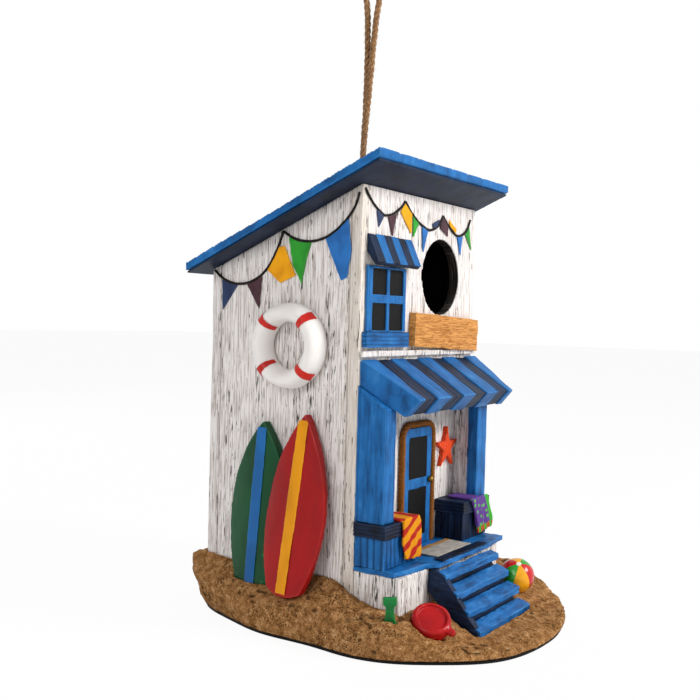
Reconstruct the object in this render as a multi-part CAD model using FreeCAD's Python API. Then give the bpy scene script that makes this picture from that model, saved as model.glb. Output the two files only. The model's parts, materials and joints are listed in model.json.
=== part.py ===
"""Hanging beach-hut birdhouse: a walled box under a lean-to roof, a porch with an awning,
steps down to a sand base, cast beach toys, and a twine loop to hang it by.

Millimetres, +Z up. The front faces -Y. The origin is on the ground under the middle of the base.
"""
import FreeCAD, Part
import math
import os

V = FreeCAD.Vector
X_AXIS = V(1, 0, 0)
Y_AXIS = V(0, 1, 0)
Z_AXIS = V(0, 0, 1)
FAR = 400.0                       # reach of cutting blocks, larger than the whole object

# ---- house -------------------------------------------------------------------
HOUSE_W = 110.0                   # outside width, left wall to right wall
HOUSE_D = 88.0                    # outside depth, front wall to back wall
FRONT_Y = -16.0                   # outer face of the front wall
WALL = 6.0                        # thickness of every wall
WALL_FOOT = 12.0                  # underside of the walls, sunk in the sand base
FLOOR = 4.0                       # thickness of the nest floor
FRONT_TOP = 206.2                 # top of the front wall at its outer face
BACK_TOP = 168.5                  # top of the back wall at its outer face

LEFT_X = -HOUSE_W / 2
RIGHT_X = HOUSE_W / 2
BACK_Y = FRONT_Y + HOUSE_D
MID_X = LEFT_X + 55.0             # middle of the way in, set out from the left wall
SLOPE = (FRONT_TOP - BACK_TOP) / HOUSE_D          # fall of the roof per mm of depth

ENTRANCE_R = 19.0                 # 38 mm entrance hole
ENTRANCE_X = MID_X + 18.8
ENTRANCE_Z = 167.8

# ---- roof --------------------------------------------------------------------
LINING = 1.2                      # navy lining board under the roof
LINING_INSET = 1.0
ROOF_BOARD = 4.3                  # blue roof board, measured upright
EAVE_LEFT = 13.0                  # overhangs past the walls
EAVE_RIGHT = 5.0
EAVE_FRONT = 17.0
EAVE_BACK = 7.0

# ---- base --------------------------------------------------------------------
BASE_W = 146.0
BASE_D = 176.0
PAD = 1.2                         # black pad under the sand
PAD_INSET = 1.0
SAND_TOP = 28.5                   # sand level along the side walls
SAND_BULGE = 9.0                  # the back-left corner swells out past its foot
SHOULDER = 17.0                   # height of that swelling

# ---- porch -------------------------------------------------------------------
PORCH_W = 101.0                   # measured from the left wall
DECK_TOP = 35.0
DECK = 2.5
DECK_REACH = 28.5                 # how far the deck stands out at the steps
PLINTH_REACH = 24.0
PLINTH_INSET = 0.5
HALF_WALL_W = 26.5                # low walls each side of the way in
HALF_WALL_REACH = 16.0
HALF_WALL_TOP = 48.5
CAP_RAIL = 6.5                    # navy rail on the low walls
CAP_PROUD = 1.3
POST_W = 9.5
RIGHT_POST_W = 10.7
POST_GAP = 0.3                    # right post stands in from the porch's right edge
POST_REACH = 15.3
SIDE_WALL_REACH = 9.5             # white wing wall behind the right post
SIDE_WALL_SET = 3.0               # it stands back this far from the post's inner face

PORCH_RIGHT = LEFT_X + PORCH_W
RAIL_TOP = HALF_WALL_TOP + CAP_RAIL

# ---- steps -------------------------------------------------------------------
STEPS = 4
STEP_W = 52.0
GOING = 6.0
RISE = 7.4
FIRST_DROP = 4.3                  # deck top to the front edge of the top tread
FIRST_REACH = 5.0                 # deck front to the front edge of the top tread
TREAD = 3.3
TREAD_DEPTH = 7.0
TREAD_TILT = 2.4                  # each tread falls this much towards its front edge
RISER = 2.0
RISER_BACK = 1.5                  # riser face behind the tread's front edge
STRINGER = 3.4
TREAD_OVER = 2.8                  # treads run this far over the left stringer

# ---- awning over the porch ---------------------------------------------------
AWNING_W = 112.0
AWNING_LEFT = LEFT_X + 1.0
AWNING_TOP = 126.4
AWNING_REACH = 25.3
AWNING_FOLD = 110.4               # height of the front fold of the core
VALANCE_FOOT = 103.6
VALANCE_BACK = 6.3                # the valance tucks back this far under the fold
AWNING_HEEL = 116.0               # underside of the core at the wall
AWNING_TAPER = 7.5                # each end closes in this much towards the front
AWNING_STRIPES = 9
BLUE_BOARD = 1.5
NAVY_BOARD = 0.9
LEDGE_FOOT = 128.5                # white ledge board above the awning
LEDGE_H = 2.8
LEDGE_PROUD = 2.2

# ---- window ------------------------------------------------------------------
WINDOW_X0 = LEFT_X + 4.0
WINDOW_X1 = LEFT_X + 37.2
WINDOW_FOOT = 140.0
WINDOW_HEAD = 170.0
WINDOW_PROUD = 1.6
STILE = 4.0
RIGHT_STILE = 2.5
MULLION = 2.3
TRANSOM = 4.0
PANE = 0.8
SILL_H = 7.3
SILL_PROUD = 2.8
SILL_END = 1.8                    # sill past the frame at each end
HOOD_X0 = LEFT_X + 4.5            # little striped hood over the window
HOOD_X1 = LEFT_X + 42.5
HOOD_TOP = 184.0
HOOD_LIP = 171.0
HOOD_REACH = 6.0
HOOD_LIP_T = 1.4
HOOD_STRIPES = 6
HOOD_BOARD = 0.8

# ---- door --------------------------------------------------------------------
DOOR_X = MID_X - 2.0              # middle of the door
DOOR_W = 26.0
DOOR_FOOT = DECK_TOP
DOOR_TOP = 93.0
DOOR_T = 1.8
DOOR_PANE_W = 17.4
DOOR_PANE_T = 0.6
ROPE_R = 1.6

# ---- clean-out plug in the back wall -----------------------------------------
PLUG_R = 14.0
PLUG_CLEAR = 0.3
PLUG_Z = 78.0
FLANGE_R = 17.5
FLANGE = 2.4
GRIP = (18.0, 7.0, 3.4)           # finger bar: width, reach, height

# ---- hanging twine -----------------------------------------------------------
TWINE_D = 3.0
TWINE_X = -4.0
TWINE_Y = 19.5
TWINE_HOLE_R = 4.6
WASHER_R = 10.0
WASHER = 1.5
KNOT_R = 6.5
KNOT_FLAT = 0.6                   # depth of the knot's flat against the washer

# ---- trims and toys ----------------------------------------------------------
TOWEL = 1.3
RING_R = 15.4                     # life ring: centre line and tube
RING_TUBE = 4.55
RING_Y = 19.8
RING_Z = 132.5
RING_STANDOFF = 4.6               # tube centre to the wall
RING_DEPTH = 6.8                  # half depth of the oval tube, square to the wall
BAND_PROUD = 0.35
BAND_ANGLE = 13.0
FLAG = 0.8
BUNTING_R = 0.7
BOARD_T = 5.6                     # surfboards
BOARD_EDGE = 2.4
BOARD_W = 32.5
BOARD_FOOT_W = 19.0               # width at the blunt lower end
BOARD_WIDEST = 0.36               # share of the length where it is widest
STRIPE_W = 6.0
STRIPE_PROUD = 0.5
BALL_R = 8.9
DISH_R = 8.8


# ---- helpers -----------------------------------------------------------------
def block(x0, x1, y0, y1, z0, z1):
    """Box between two corners."""
    return Part.makeBox(x1 - x0, y1 - y0, z1 - z0, V(x0, y0, z0))


def face_of(points):
    """Flat face inside a closed run of straight edges."""
    return Part.Face(Part.makePolygon(points + [points[0]]))


def prism_x(outline, x0, x1):
    """Outline of (y, z) points, extruded along X."""
    return face_of([V(x0, y, z) for y, z in outline]).extrude(V(x1 - x0, 0, 0))


def prism_y(outline, y0, y1):
    """Outline of (x, z) points, extruded along Y."""
    return face_of([V(x, y0, z) for x, z in outline]).extrude(V(0, y1 - y0, 0))


def prism_z(outline, z0, z1):
    """Outline of (x, y) points, extruded along Z."""
    return face_of([V(x, y, z0) for x, y in outline]).extrude(V(0, 0, z1 - z0))


def save(name, *solids):
    """Write one sub-part. Several solids stay separate in one file."""
    shape = solids[0] if len(solids) == 1 else Part.makeCompound(list(solids))
    shape.exportStep("parts/" + name + ".step")


def arc_between(start, via, end):
    """Circular arc edge through three points."""
    return Part.Arc(start, via, end).toShape()


def rod_along(edges, radius):
    """Round bar along joined edges."""
    path = Part.Wire(edges)
    start = path.OrderedEdges[0]
    at = start.valueAt(start.FirstParameter)
    along = start.tangentAt(start.FirstParameter)
    ring = Part.Wire([Part.makeCircle(radius, at, along)])
    return path.makePipeShell([ring], True, False)


def roof_under(y):
    """Height of the roof's underside at a depth."""
    return FRONT_TOP - SLOPE * (y - FRONT_Y)


def roof_slab(x0, x1, y0, y1, lift, thick):
    """Board that follows the roof's slope."""
    low = [(y0, roof_under(y0) + lift), (y1, roof_under(y1) + lift)]
    high = [(y1, roof_under(y1) + lift + thick), (y0, roof_under(y0) + lift + thick)]
    return prism_x(low + high, x0, x1)


ABOVE_ROOF_PLANE = roof_slab(-FAR, FAR, -FAR, FAR, 0.0, FAR)
BEHIND_FRONT = block(-FAR, FAR, FRONT_Y, FAR, -FAR, FAR)
INSIDE_LEFT = block(LEFT_X, FAR, -FAR, FAR, -FAR, FAR)


# ---- walls, floor and roof ---------------------------------------------------
def house_walls():
    inner_front = FRONT_Y + WALL
    inner_back = BACK_Y - WALL
    top = FRONT_TOP + EAVE_FRONT
    front = block(LEFT_X, RIGHT_X, FRONT_Y, inner_front, WALL_FOOT, top).cut(ABOVE_ROOF_PLANE)
    hole = Part.makeCylinder(ENTRANCE_R, 3 * WALL, V(ENTRANCE_X, FRONT_Y - WALL, ENTRANCE_Z), Y_AXIS)
    front = front.cut(hole)
    back = block(LEFT_X, RIGHT_X, inner_back, BACK_Y, WALL_FOOT, top).cut(ABOVE_ROOF_PLANE)
    back = back.cut(Part.makeCylinder(PLUG_R + PLUG_CLEAR, 3 * WALL, V(0, inner_back - WALL, PLUG_Z), Y_AXIS))
    left = block(LEFT_X, LEFT_X + WALL, inner_front, inner_back, WALL_FOOT, top).cut(ABOVE_ROOF_PLANE)
    right = block(RIGHT_X - WALL, RIGHT_X, inner_front, inner_back, WALL_FOOT, top).cut(ABOVE_ROOF_PLANE)
    floor = block(LEFT_X + WALL, RIGHT_X - WALL, inner_front, inner_back, WALL_FOOT, WALL_FOOT + FLOOR)
    return front, back, left, right, floor


def roof_parts():
    x0 = LEFT_X - EAVE_LEFT
    x1 = RIGHT_X + EAVE_RIGHT
    y0 = FRONT_Y - EAVE_FRONT
    y1 = BACK_Y + EAVE_BACK
    hole = Part.makeCylinder(TWINE_HOLE_R, FAR, V(TWINE_X, TWINE_Y, 0))
    inset = LINING_INSET
    lining = roof_slab(x0 + inset, x1 - inset, y0 + inset, y1 - inset, 0.0, LINING).cut(hole)
    board = roof_slab(x0, x1, y0, y1, LINING, ROOF_BOARD).cut(hole)
    return lining, board


# ---- sand base ---------------------------------------------------------------
def base_outline(inset, bulge, height):
    """Rounded, uneven outline of the base, given as (x, y) shares of its half width and half depth.

    bulge is how far the sand swells past the foot at its back-left corner.
    """
    shares = [(0.05, -1.0), (0.47, -0.93), (0.82, -0.73), (0.96, -0.36), (1.0, 0.06), (0.965, 0.47),
              (0.83, 0.80), (0.50, 0.97), (0.0, 1.0), (-0.48, 0.98), (-0.76, 0.82), (-0.90, 0.55),
              (-0.985, 0.28), (-0.98, -0.05), (-0.995, -0.28), (-0.93, -0.50), (-0.78, -0.69), (-0.53, -0.90),
              (-0.24, -0.985)]
    corner = (-0.75, 0.75)
    half_w = BASE_W / 2 - inset
    half_d = BASE_D / 2 - inset
    points = []
    for a, b in shares:
        near = max(0.0, 1 - math.hypot(a - corner[0], b - corner[1]) / 0.62)
        swell = bulge * near ** 0.8
        points.append(V(a * half_w - 0.65 * swell, b * half_d + 0.5 * swell, height))
    curve = Part.BSplineCurve()
    curve.interpolate(Points=points, PeriodicFlag=True)
    return Part.Wire([curve.toShape()])


def sloped_block(points, extrude_by):
    """Solid under a smooth top line, closed by straight sides and a flat foot."""
    top = Part.BSplineCurve()
    top.interpolate(Points=points)
    first = points[0]
    last = points[-1]
    foot_first = V(first.x, first.y, -1)
    foot_last = V(last.x, last.y, -1)
    edges = [top.toShape(), Part.makeLine(last, foot_last), Part.makeLine(foot_last, foot_first),
             Part.makeLine(foot_first, first)]
    return Part.Face(Part.Wire(edges)).extrude(extrude_by)


def sand_solid():
    """Sand that lies high round the house and runs down in front of the steps."""
    half_w = BASE_W / 2
    half_d = BASE_D / 2
    porch = FRONT_Y - PLINTH_REACH
    along_y = [(-half_d - 1, 1.6), (-half_d + 5, 4.8), (porch - 28, 6.8), (porch - 15, 11.3),
               (porch, 17.2), (FRONT_Y - 9, 19.6), (FRONT_Y + 2, 23.8), (FRONT_Y + 12, 27.2),
               (FRONT_Y + 26, SAND_TOP), (BACK_Y, SAND_TOP), (half_d - 6, 24.5), (half_d + 1, 16.0)]
    along_x = [(-half_w - 1, 12.5), (LEFT_X - 12, 19.3), (LEFT_X - 5, 24.0), (LEFT_X + 3, 30.0),
               (0, 31.0), (RIGHT_X - 3, 30.0), (RIGHT_X + 5, 24.0), (RIGHT_X + 12, 17.0), (half_w + 1, 9.5)]
    foot = base_outline(0.0, 0.0, PAD)
    shoulder = base_outline(0.0, SAND_BULGE, SHOULDER)
    lower = Part.makeLoft([foot, shoulder], True, True)
    upper = Part.Face(shoulder).extrude(V(0, 0, FAR / 4))
    plan = lower.fuse(upper)
    side = sloped_block([V(-FAR / 2, y, z) for y, z in along_y], V(FAR, 0, 0))
    front = sloped_block([V(x, -FAR / 2, z) for x, z in along_x], V(0, FAR, 0))
    return plan.common(side).common(front)


# ---- porch -------------------------------------------------------------------
def porch_base():
    x0 = LEFT_X
    plinth = block(x0 + PLINTH_INSET, PORCH_RIGHT - 2.0, FRONT_Y - PLINTH_REACH, FRONT_Y,
                   WALL_FOOT - 4.0, DECK_TOP - DECK)
    step_half = STEP_W / 2
    outline = [(x0, FRONT_Y), (x0, FRONT_Y - 21.5), (MID_X - step_half - 5, FRONT_Y - 24.5),
               (MID_X - step_half, FRONT_Y - DECK_REACH), (MID_X + step_half, FRONT_Y - DECK_REACH),
               (PORCH_RIGHT, FRONT_Y - 26.0), (PORCH_RIGHT, FRONT_Y)]
    deck = prism_z(outline, DECK_TOP - DECK, DECK_TOP)
    return plinth, deck


def half_wall(x0, x1):
    return block(x0, x1, FRONT_Y - HALF_WALL_REACH, FRONT_Y, DECK_TOP, HALF_WALL_TOP)


def cap_rail(x0, x1):
    return block(x0 - CAP_PROUD, x1 + CAP_PROUD, FRONT_Y - HALF_WALL_REACH - CAP_PROUD, FRONT_Y,
                 HALF_WALL_TOP, RAIL_TOP).cut(block(x0 - FAR, LEFT_X, FRONT_Y, FAR, -FAR, FAR))


def porch_uprights(core):
    """Posts and wing wall, cut to the awning's underside."""
    top = AWNING_TOP
    left = block(LEFT_X, LEFT_X + POST_W, FRONT_Y - POST_REACH, FRONT_Y, RAIL_TOP, top)
    x1 = PORCH_RIGHT - POST_GAP
    x0 = x1 - RIGHT_POST_W
    right = block(x0, x1, FRONT_Y - POST_REACH, FRONT_Y - SIDE_WALL_REACH, RAIL_TOP, top)
    wing = block(x0 + SIDE_WALL_SET, x1, FRONT_Y - SIDE_WALL_REACH, FRONT_Y, RAIL_TOP, top)
    above = prism_x([(FRONT_Y, AWNING_HEEL), (FRONT_Y, FAR), (FRONT_Y - FAR, FAR),
                     (FRONT_Y - AWNING_REACH + VALANCE_BACK, VALANCE_FOOT)], -FAR, FAR)
    return [shape.cut(core).cut(above) for shape in (left, right, wing)]


# ---- awnings -----------------------------------------------------------------
def offset_line(points, by):
    """Points of a bent (y, z) line moved out by a distance, mitred at its bends."""
    moved = []
    normals = []
    for (y0, z0), (y1, z1) in zip(points, points[1:]):
        length = math.hypot(y1 - y0, z1 - z0)
        normals.append(((z1 - z0) / length, -(y1 - y0) / length))
    for i, (y, z) in enumerate(points):
        before = normals[max(i - 1, 0)]
        after = normals[min(i, len(normals) - 1)]
        ny = before[0] + after[0]
        nz = before[1] + after[1]
        scale = 2 * by / (ny * ny + nz * nz)
        moved.append((y + ny * scale, z + nz * scale))
    return moved


AWNING_LINE = [(FRONT_Y, AWNING_TOP), (FRONT_Y - AWNING_REACH, AWNING_FOLD),
               (FRONT_Y - AWNING_REACH + VALANCE_BACK, VALANCE_FOOT)]
HOOD_LINE = [(FRONT_Y, HOOD_TOP), (FRONT_Y - HOOD_REACH, HOOD_LIP)]


def bent_board(line, thick, x0, x1):
    """Board of one thickness laid on a bent line, trimmed flush with the wall."""
    outer = offset_line(line, thick)
    return prism_x(line + outer[::-1], x0, x1).cut(BEHIND_FRONT)


def awning_plan(grow):
    """Plan of the awning: full width at the wall, closing in towards its front."""
    reach = AWNING_REACH + 5.0
    taper = AWNING_TAPER * reach / AWNING_REACH
    x0 = AWNING_LEFT - grow
    x1 = AWNING_LEFT + AWNING_W + grow
    outline = [(x0, FRONT_Y), (x1, FRONT_Y), (x1 - taper, FRONT_Y - reach), (x0 + taper, FRONT_Y - reach)]
    return prism_z(outline, 0, FAR)


def awning_parts():
    core = prism_x(AWNING_LINE + [(FRONT_Y, AWNING_HEEL)], AWNING_LEFT, AWNING_LEFT + AWNING_W)
    core = core.common(awning_plan(0.0))
    pitch = AWNING_W / AWNING_STRIPES
    blue = []
    navy = []
    for i in range(AWNING_STRIPES):
        x0 = AWNING_LEFT + i * pitch
        thick = BLUE_BOARD if i % 2 == 0 else NAVY_BOARD
        board = bent_board(AWNING_LINE, thick, x0, x0 + pitch).common(awning_plan(0.0))
        (blue if i % 2 == 0 else navy).append(board)
    return core, blue, navy


def hood_parts():
    lip_y = FRONT_Y - HOOD_REACH + HOOD_LIP_T
    core = prism_x(HOOD_LINE + [(lip_y, HOOD_LIP - HOOD_LIP_T), (FRONT_Y, WINDOW_HEAD + 6.0)],
                   HOOD_X0, HOOD_X1)
    pitch = (HOOD_X1 - HOOD_X0) / HOOD_STRIPES
    boards = [bent_board(HOOD_LINE, HOOD_BOARD, HOOD_X0 + i * pitch, HOOD_X0 + (i + 1) * pitch)
              for i in range(HOOD_STRIPES)]
    return core, boards[0::2], boards[1::2]


# ---- window, door and front trims --------------------------------------------
def window_parts():
    face = FRONT_Y - WINDOW_PROUD
    frame = block(WINDOW_X0, WINDOW_X1, face, FRONT_Y, WINDOW_FOOT, WINDOW_HEAD)
    light_w = (WINDOW_X1 - WINDOW_X0 - STILE - RIGHT_STILE - MULLION) / 2
    mid = (WINDOW_FOOT + WINDOW_HEAD) / 2
    head = WINDOW_HEAD - 1.2
    columns = [WINDOW_X0 + STILE, WINDOW_X0 + STILE + light_w + MULLION]
    rows = [(WINDOW_FOOT + 0.6, mid - TRANSOM / 2), (mid + TRANSOM / 2, head)]
    panes = []
    for x in columns:
        for z0, z1 in rows:
            frame = frame.cut(block(x, x + light_w, face, FRONT_Y, z0, z1))
            panes.append(block(x, x + light_w, FRONT_Y - PANE, FRONT_Y, z0, z1))
    sill = block(WINDOW_X0 - SILL_END, WINDOW_X1 + SILL_END, FRONT_Y - SILL_PROUD, FRONT_Y,
                 WINDOW_FOOT - SILL_H, WINDOW_FOOT)
    return frame, panes, sill


def door_parts():
    face = FRONT_Y - DOOR_T
    x0 = DOOR_X - DOOR_W / 2
    x1 = DOOR_X + DOOR_W / 2
    slab = block(x0, x1, face, FRONT_Y, DOOR_FOOT, DOOR_TOP)
    stile = (DOOR_W - DOOR_PANE_W) / 2
    panes = []
    for z0, z1 in [(DOOR_FOOT + 4.5, 63.0), (68.0, DOOR_TOP - 4.6)]:
        slab = slab.cut(block(x0 + stile, x1 - stile, face, face + DOOR_PANE_T, z0, z1))
        panes.append(block(x0 + stile, x1 - stile, face + 0.2, face + DOOR_PANE_T, z0, z1))
    knob = Part.makeSphere(1.6, V(x1 - 2.2, face - 1.0, 66.5))
    neck = Part.makeCylinder(0.8, 1.2, V(x1 - 2.2, face - 1.2, 66.5), Y_AXIS)
    return slab, panes, knob.fuse(neck).removeSplitter().cut(slab)


def rope_trim():
    """Rope laid round the door: up one side, over two round corners, down the other."""
    x0 = DOOR_X - DOOR_W / 2 - ROPE_R - 0.1
    x1 = DOOR_X + DOOR_W / 2 + ROPE_R + 0.1
    y = FRONT_Y - ROPE_R + 0.4
    top = DOOR_TOP + ROPE_R + 0.1
    bend = 6.0
    slack = bend * (1 - math.sqrt(0.5))
    edges = [Part.makeLine(V(x0, y, DECK_TOP), V(x0, y, top - bend)),
             arc_between(V(x0, y, top - bend), V(x0 + slack, y, top - slack), V(x0 + bend, y, top)),
             Part.makeLine(V(x0 + bend, y, top), V(x1 - bend, y, top)),
             arc_between(V(x1 - bend, y, top), V(x1 - slack, y, top - slack), V(x1, y, top - bend)),
             Part.makeLine(V(x1, y, top - bend), V(x1, y, DECK_TOP))]
    door = block(x0 + ROPE_R, x1 - ROPE_R, FRONT_Y - DOOR_T, FRONT_Y, DOOR_FOOT, DOOR_TOP)
    return rod_along(edges, ROPE_R).cut(BEHIND_FRONT).cut(door)


def ledge_board():
    return block(LEFT_X, RIGHT_X, FRONT_Y - LEDGE_PROUD, FRONT_Y, LEDGE_FOOT, LEDGE_FOOT + LEDGE_H)


def sign_board():
    """Plain wood plate, a little askew, notched at its back over the ledge board."""
    long, high, thick, tilt = 66.5, 16.8, 4.0, -2.4
    plate = block(-long / 2, long / 2, FRONT_Y - thick, FRONT_Y, -high / 2, high / 2)
    plate.rotate(V(0, 0, 0), Y_AXIS, -tilt)
    plate.translate(V(MID_X + 21.0, 0, 139.9))
    return plate.cut(ledge_board())


def starfish():
    centre = (MID_X + 26.4, 80.4)
    long_arm, crotch, thick = 11.6, 4.0, 2.8
    points = []
    for i in range(10):
        reach = long_arm if i % 2 == 0 else crotch
        angle = math.radians(90 + 36 * i)
        points.append((centre[0] + reach * math.cos(angle), centre[1] + reach * math.sin(angle)))
    return prism_y(points, FRONT_Y - thick, FRONT_Y)


# ---- steps -------------------------------------------------------------------
def tread_section(i):
    """(y, z) outline of one tread, tilted down to its front edge."""
    front = FRONT_Y - DECK_REACH - FIRST_REACH - i * GOING
    depth = min(TREAD_DEPTH, FIRST_REACH) if i == 0 else TREAD_DEPTH
    top = DECK_TOP - FIRST_DROP - i * RISE
    back_top = top + TREAD_TILT * depth / TREAD_DEPTH
    return [(front, top), (front + depth, back_top), (front + depth, back_top - TREAD), (front, top - TREAD)]


def step_parts():
    left_x = MID_X - STEP_W / 2
    end_x = MID_X + STEP_W / 2
    treads = [prism_x(tread_section(i), left_x - TREAD_OVER, end_x) for i in range(STEPS)]
    right_x = end_x - STRINGER - 1.0
    risers = []
    for i in range(STEPS):
        front = tread_section(i)[0][0] + RISER_BACK
        top = tread_section(i)[0][1]
        foot = max(top - RISE - TREAD / 2, PAD + 0.4)
        riser = block(left_x, right_x, front, front + RISER, foot, top)
        for tread in treads:
            riser = riser.cut(tread)
        risers.append(max(riser.Solids, key=lambda solid: solid.Volume))
    back = FRONT_Y - PLINTH_REACH
    first = tread_section(0)[0]
    last = tread_section(STEPS - 1)[0]
    upper = [(back, DECK_TOP - DECK), (first[0] + 4.6, DECK_TOP - DECK), (first[0] + 1.2, first[1] - 0.2),
             (last[0] + 1.0, last[1] - 0.6)]
    lower = [(last[0] + 1.0, last[1] - 5.4), (last[0] + 8.5, last[1] - 5.4), (first[0] + 6.0, first[1] - 11.5),
             (back, first[1] - 8.5)]
    left = prism_x(upper + lower, left_x - STRINGER, left_x)
    for shape in treads:
        left = left.cut(shape)
    left = max(left.Solids, key=lambda solid: solid.Volume)
    under = [(back, first[1] - TREAD), (first[0] + 3.8, first[1] - TREAD), (last[0] + 3.8, last[1] - TREAD)]
    right = prism_x(under + lower[1:], right_x, right_x + STRINGER)
    for shape in treads:
        right = right.cut(shape)
    return treads, risers, left, max(right.Solids, key=lambda solid: solid.Volume)


def mats():
    mat = block(MID_X - 18.0, MID_X + 16.5, FRONT_Y - DECK_REACH + 5.7, FRONT_Y - 8.0, DECK_TOP, DECK_TOP + 0.9)
    nosing = block(MID_X - 22.5, MID_X + 23.0, FRONT_Y - DECK_REACH, FRONT_Y - DECK_REACH + 5.5,
                   DECK_TOP, DECK_TOP + 0.8)
    return mat, nosing


# ---- towels ------------------------------------------------------------------
def draped_towel(flap, x0, x1, back_y):
    """Towel over a cap rail: one flap lies on the rail, the other hangs down its front face."""
    front = FRONT_Y - HALF_WALL_REACH - CAP_PROUD
    hanging = prism_y(flap, front - TOWEL, front)
    lying = block(x0, x1, front, back_y, RAIL_TOP, RAIL_TOP + TOWEL)
    return hanging.fuse(lying).removeSplitter()


def towels():
    top = RAIL_TOP + TOWEL
    way_in = LEFT_X + HALF_WALL_W
    bench = PORCH_RIGHT - HALF_WALL_W
    post_x = PORCH_RIGHT - POST_GAP - RIGHT_POST_W
    post = block(post_x, PORCH_RIGHT, FRONT_Y - POST_REACH, FRONT_Y, DECK_TOP, AWNING_TOP)
    striped_flap = [(way_in - 13.5, top), (way_in, top), (way_in + 2.0, 53.0), (way_in + 2.3, 36.5),
                    (way_in - 11.0, 37.5), (way_in - 13.8, 45.0)]
    dotted_flap = [(bench + 5.0, top), (bench + 23.0, top), (bench + 30.0, 41.5), (bench + 28.0, 38.5),
                   (bench + 13.5, 37.0), (bench + 10.0, 47.0)]
    striped = draped_towel(striped_flap, LEFT_X + POST_W + 2.0, way_in, FRONT_Y - 5.0)
    dotted = draped_towel(dotted_flap, bench + 5.0, post_x - 0.4, FRONT_Y - 4.0)
    return striped, dotted.cut(post)


# ---- wall decorations --------------------------------------------------------
def ring_body(extra):
    """Oval-section ring turned about an axis square to the left wall."""
    middle = V(LEFT_X - RING_STANDOFF, RING_Y, RING_Z)
    section = Part.Ellipse(V(0, 0, 0), RING_DEPTH + extra, RING_TUBE + extra)
    wire = Part.Wire([section.toShape()])
    wire.translate(middle + V(0, RING_R, 0))
    return Part.Face(wire).revolve(middle, X_AXIS, 360).cut(INSIDE_LEFT)


def life_ring():
    ring = ring_body(0.0)
    sleeve = ring_body(BAND_PROUD).cut(ring)
    bands = []
    reach = RING_R + 3 * RING_TUBE
    half = math.radians(BAND_ANGLE / 2)
    for i in range(4):
        middle = math.radians(45 + 90 * i)
        outline = [(RING_Y, RING_Z)]
        for angle in (middle - half, middle + half):
            outline.append((RING_Y + reach * math.cos(angle), RING_Z + reach * math.sin(angle)))
        wedge = prism_x(outline, LEFT_X - 2 * RING_DEPTH - RING_STANDOFF, LEFT_X - RING_STANDOFF)
        bands.append(sleeve.common(wedge))
    return ring, bands


def on_left(y, z):
    return V(LEFT_X - 0.25, y, z)


def on_front(x, z):
    return V(MID_X + x, FRONT_Y - 0.25, z)


def bunting_cord(place, swags, keep_out):
    """Thin cast line of arcs against a wall, flat at its back."""
    cord = None
    for start, via, end in swags:
        piece = rod_along([arc_between(place(*start), place(*via), place(*end))], BUNTING_R)
        cord = piece if cord is None else cord.fuse(piece)
    return cord.cut(keep_out)


LEFT_SWAGS = [((70.5, 168), (52, 161.3), (36, 170)), ((36, 170), (31.5, 177.5), (28, 186)),
              ((28, 186), (9, 181), (-6, 188.5)), ((-6, 188.5), (-11.5, 194.5), (-14.5, 202))]
FRONT_SWAGS = [((-53.5, 204), (-46, 197.5), (-37, 193.5)), ((-37, 193.5), (-26, 196.5), (-19, 202)),
               ((-19, 202), (-6, 193.5), (4, 190.5)), ((4, 190.5), (12, 192.5), (18.5, 199)),
               ((18.5, 199), (24.5, 194.5), (33, 190.4)), ((33, 190.4), (42.5, 192.5), (48.5, 200))]
LEFT_FLAGS = {"navy": [[(65.5, 168), (53.5, 163), (65, 148)]],
              "plum": [[(51, 163), (40, 168.5), (41.5, 149)]],
              "yellow": [[(33.5, 178), (27, 179), (20, 165), (29, 161.5), (39, 169)]],
              "green": [[(25.5, 187), (9.5, 184.5), (14, 173), (16.5, 161), (22, 170)]],
              "blue": [[(5, 184.5), (-8.5, 195), (-11, 176), (-9, 164), (-5.5, 162.5)]]}
FRONT_FLAGS = {"navy": [[(-44.5, 200), (-35.5, 196), (-42, 187)], [(7.5, 194), (15, 197), (11.8, 187.6)]],
               "plum": [[(-35.5, 196.5), (-25, 199.5), (-30, 184.5)],
                        [(18.2, 202), (15.5, 192.5), (24, 188.7), (24, 198)]],
               "yellow": [[(-17.5, 205), (-23, 196.5), (-13, 187), (-12.5, 201)],
                          [(24.5, 198), (33, 193.5), (28.5, 185.5)]],
               "green": [[(-12, 200), (-3.2, 196), (-11, 185.5)], [(40.5, 194.5), (46.5, 199.5), (50, 184)]],
               "blue": [[(-3.2, 196), (4.5, 193.5), (-1, 178.5)], [(32.8, 193), (40.5, 194), (38, 180)]]}
FLAG_COLOURS = ["navy", "plum", "yellow", "green", "blue"]


def flag_group(colour, left_cord, front_cord):
    """Every pennant of one colour, on both walls."""
    left = [prism_x(points, LEFT_X - FLAG, LEFT_X).cut(left_cord) for points in LEFT_FLAGS[colour]]
    front = [prism_y([(MID_X + x, z) for x, z in points], FRONT_Y - FLAG, FRONT_Y).cut(front_cord)
             for points in FRONT_FLAGS[colour]]
    return [max(flag.Solids, key=lambda solid: solid.Volume) for flag in left + front]


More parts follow.
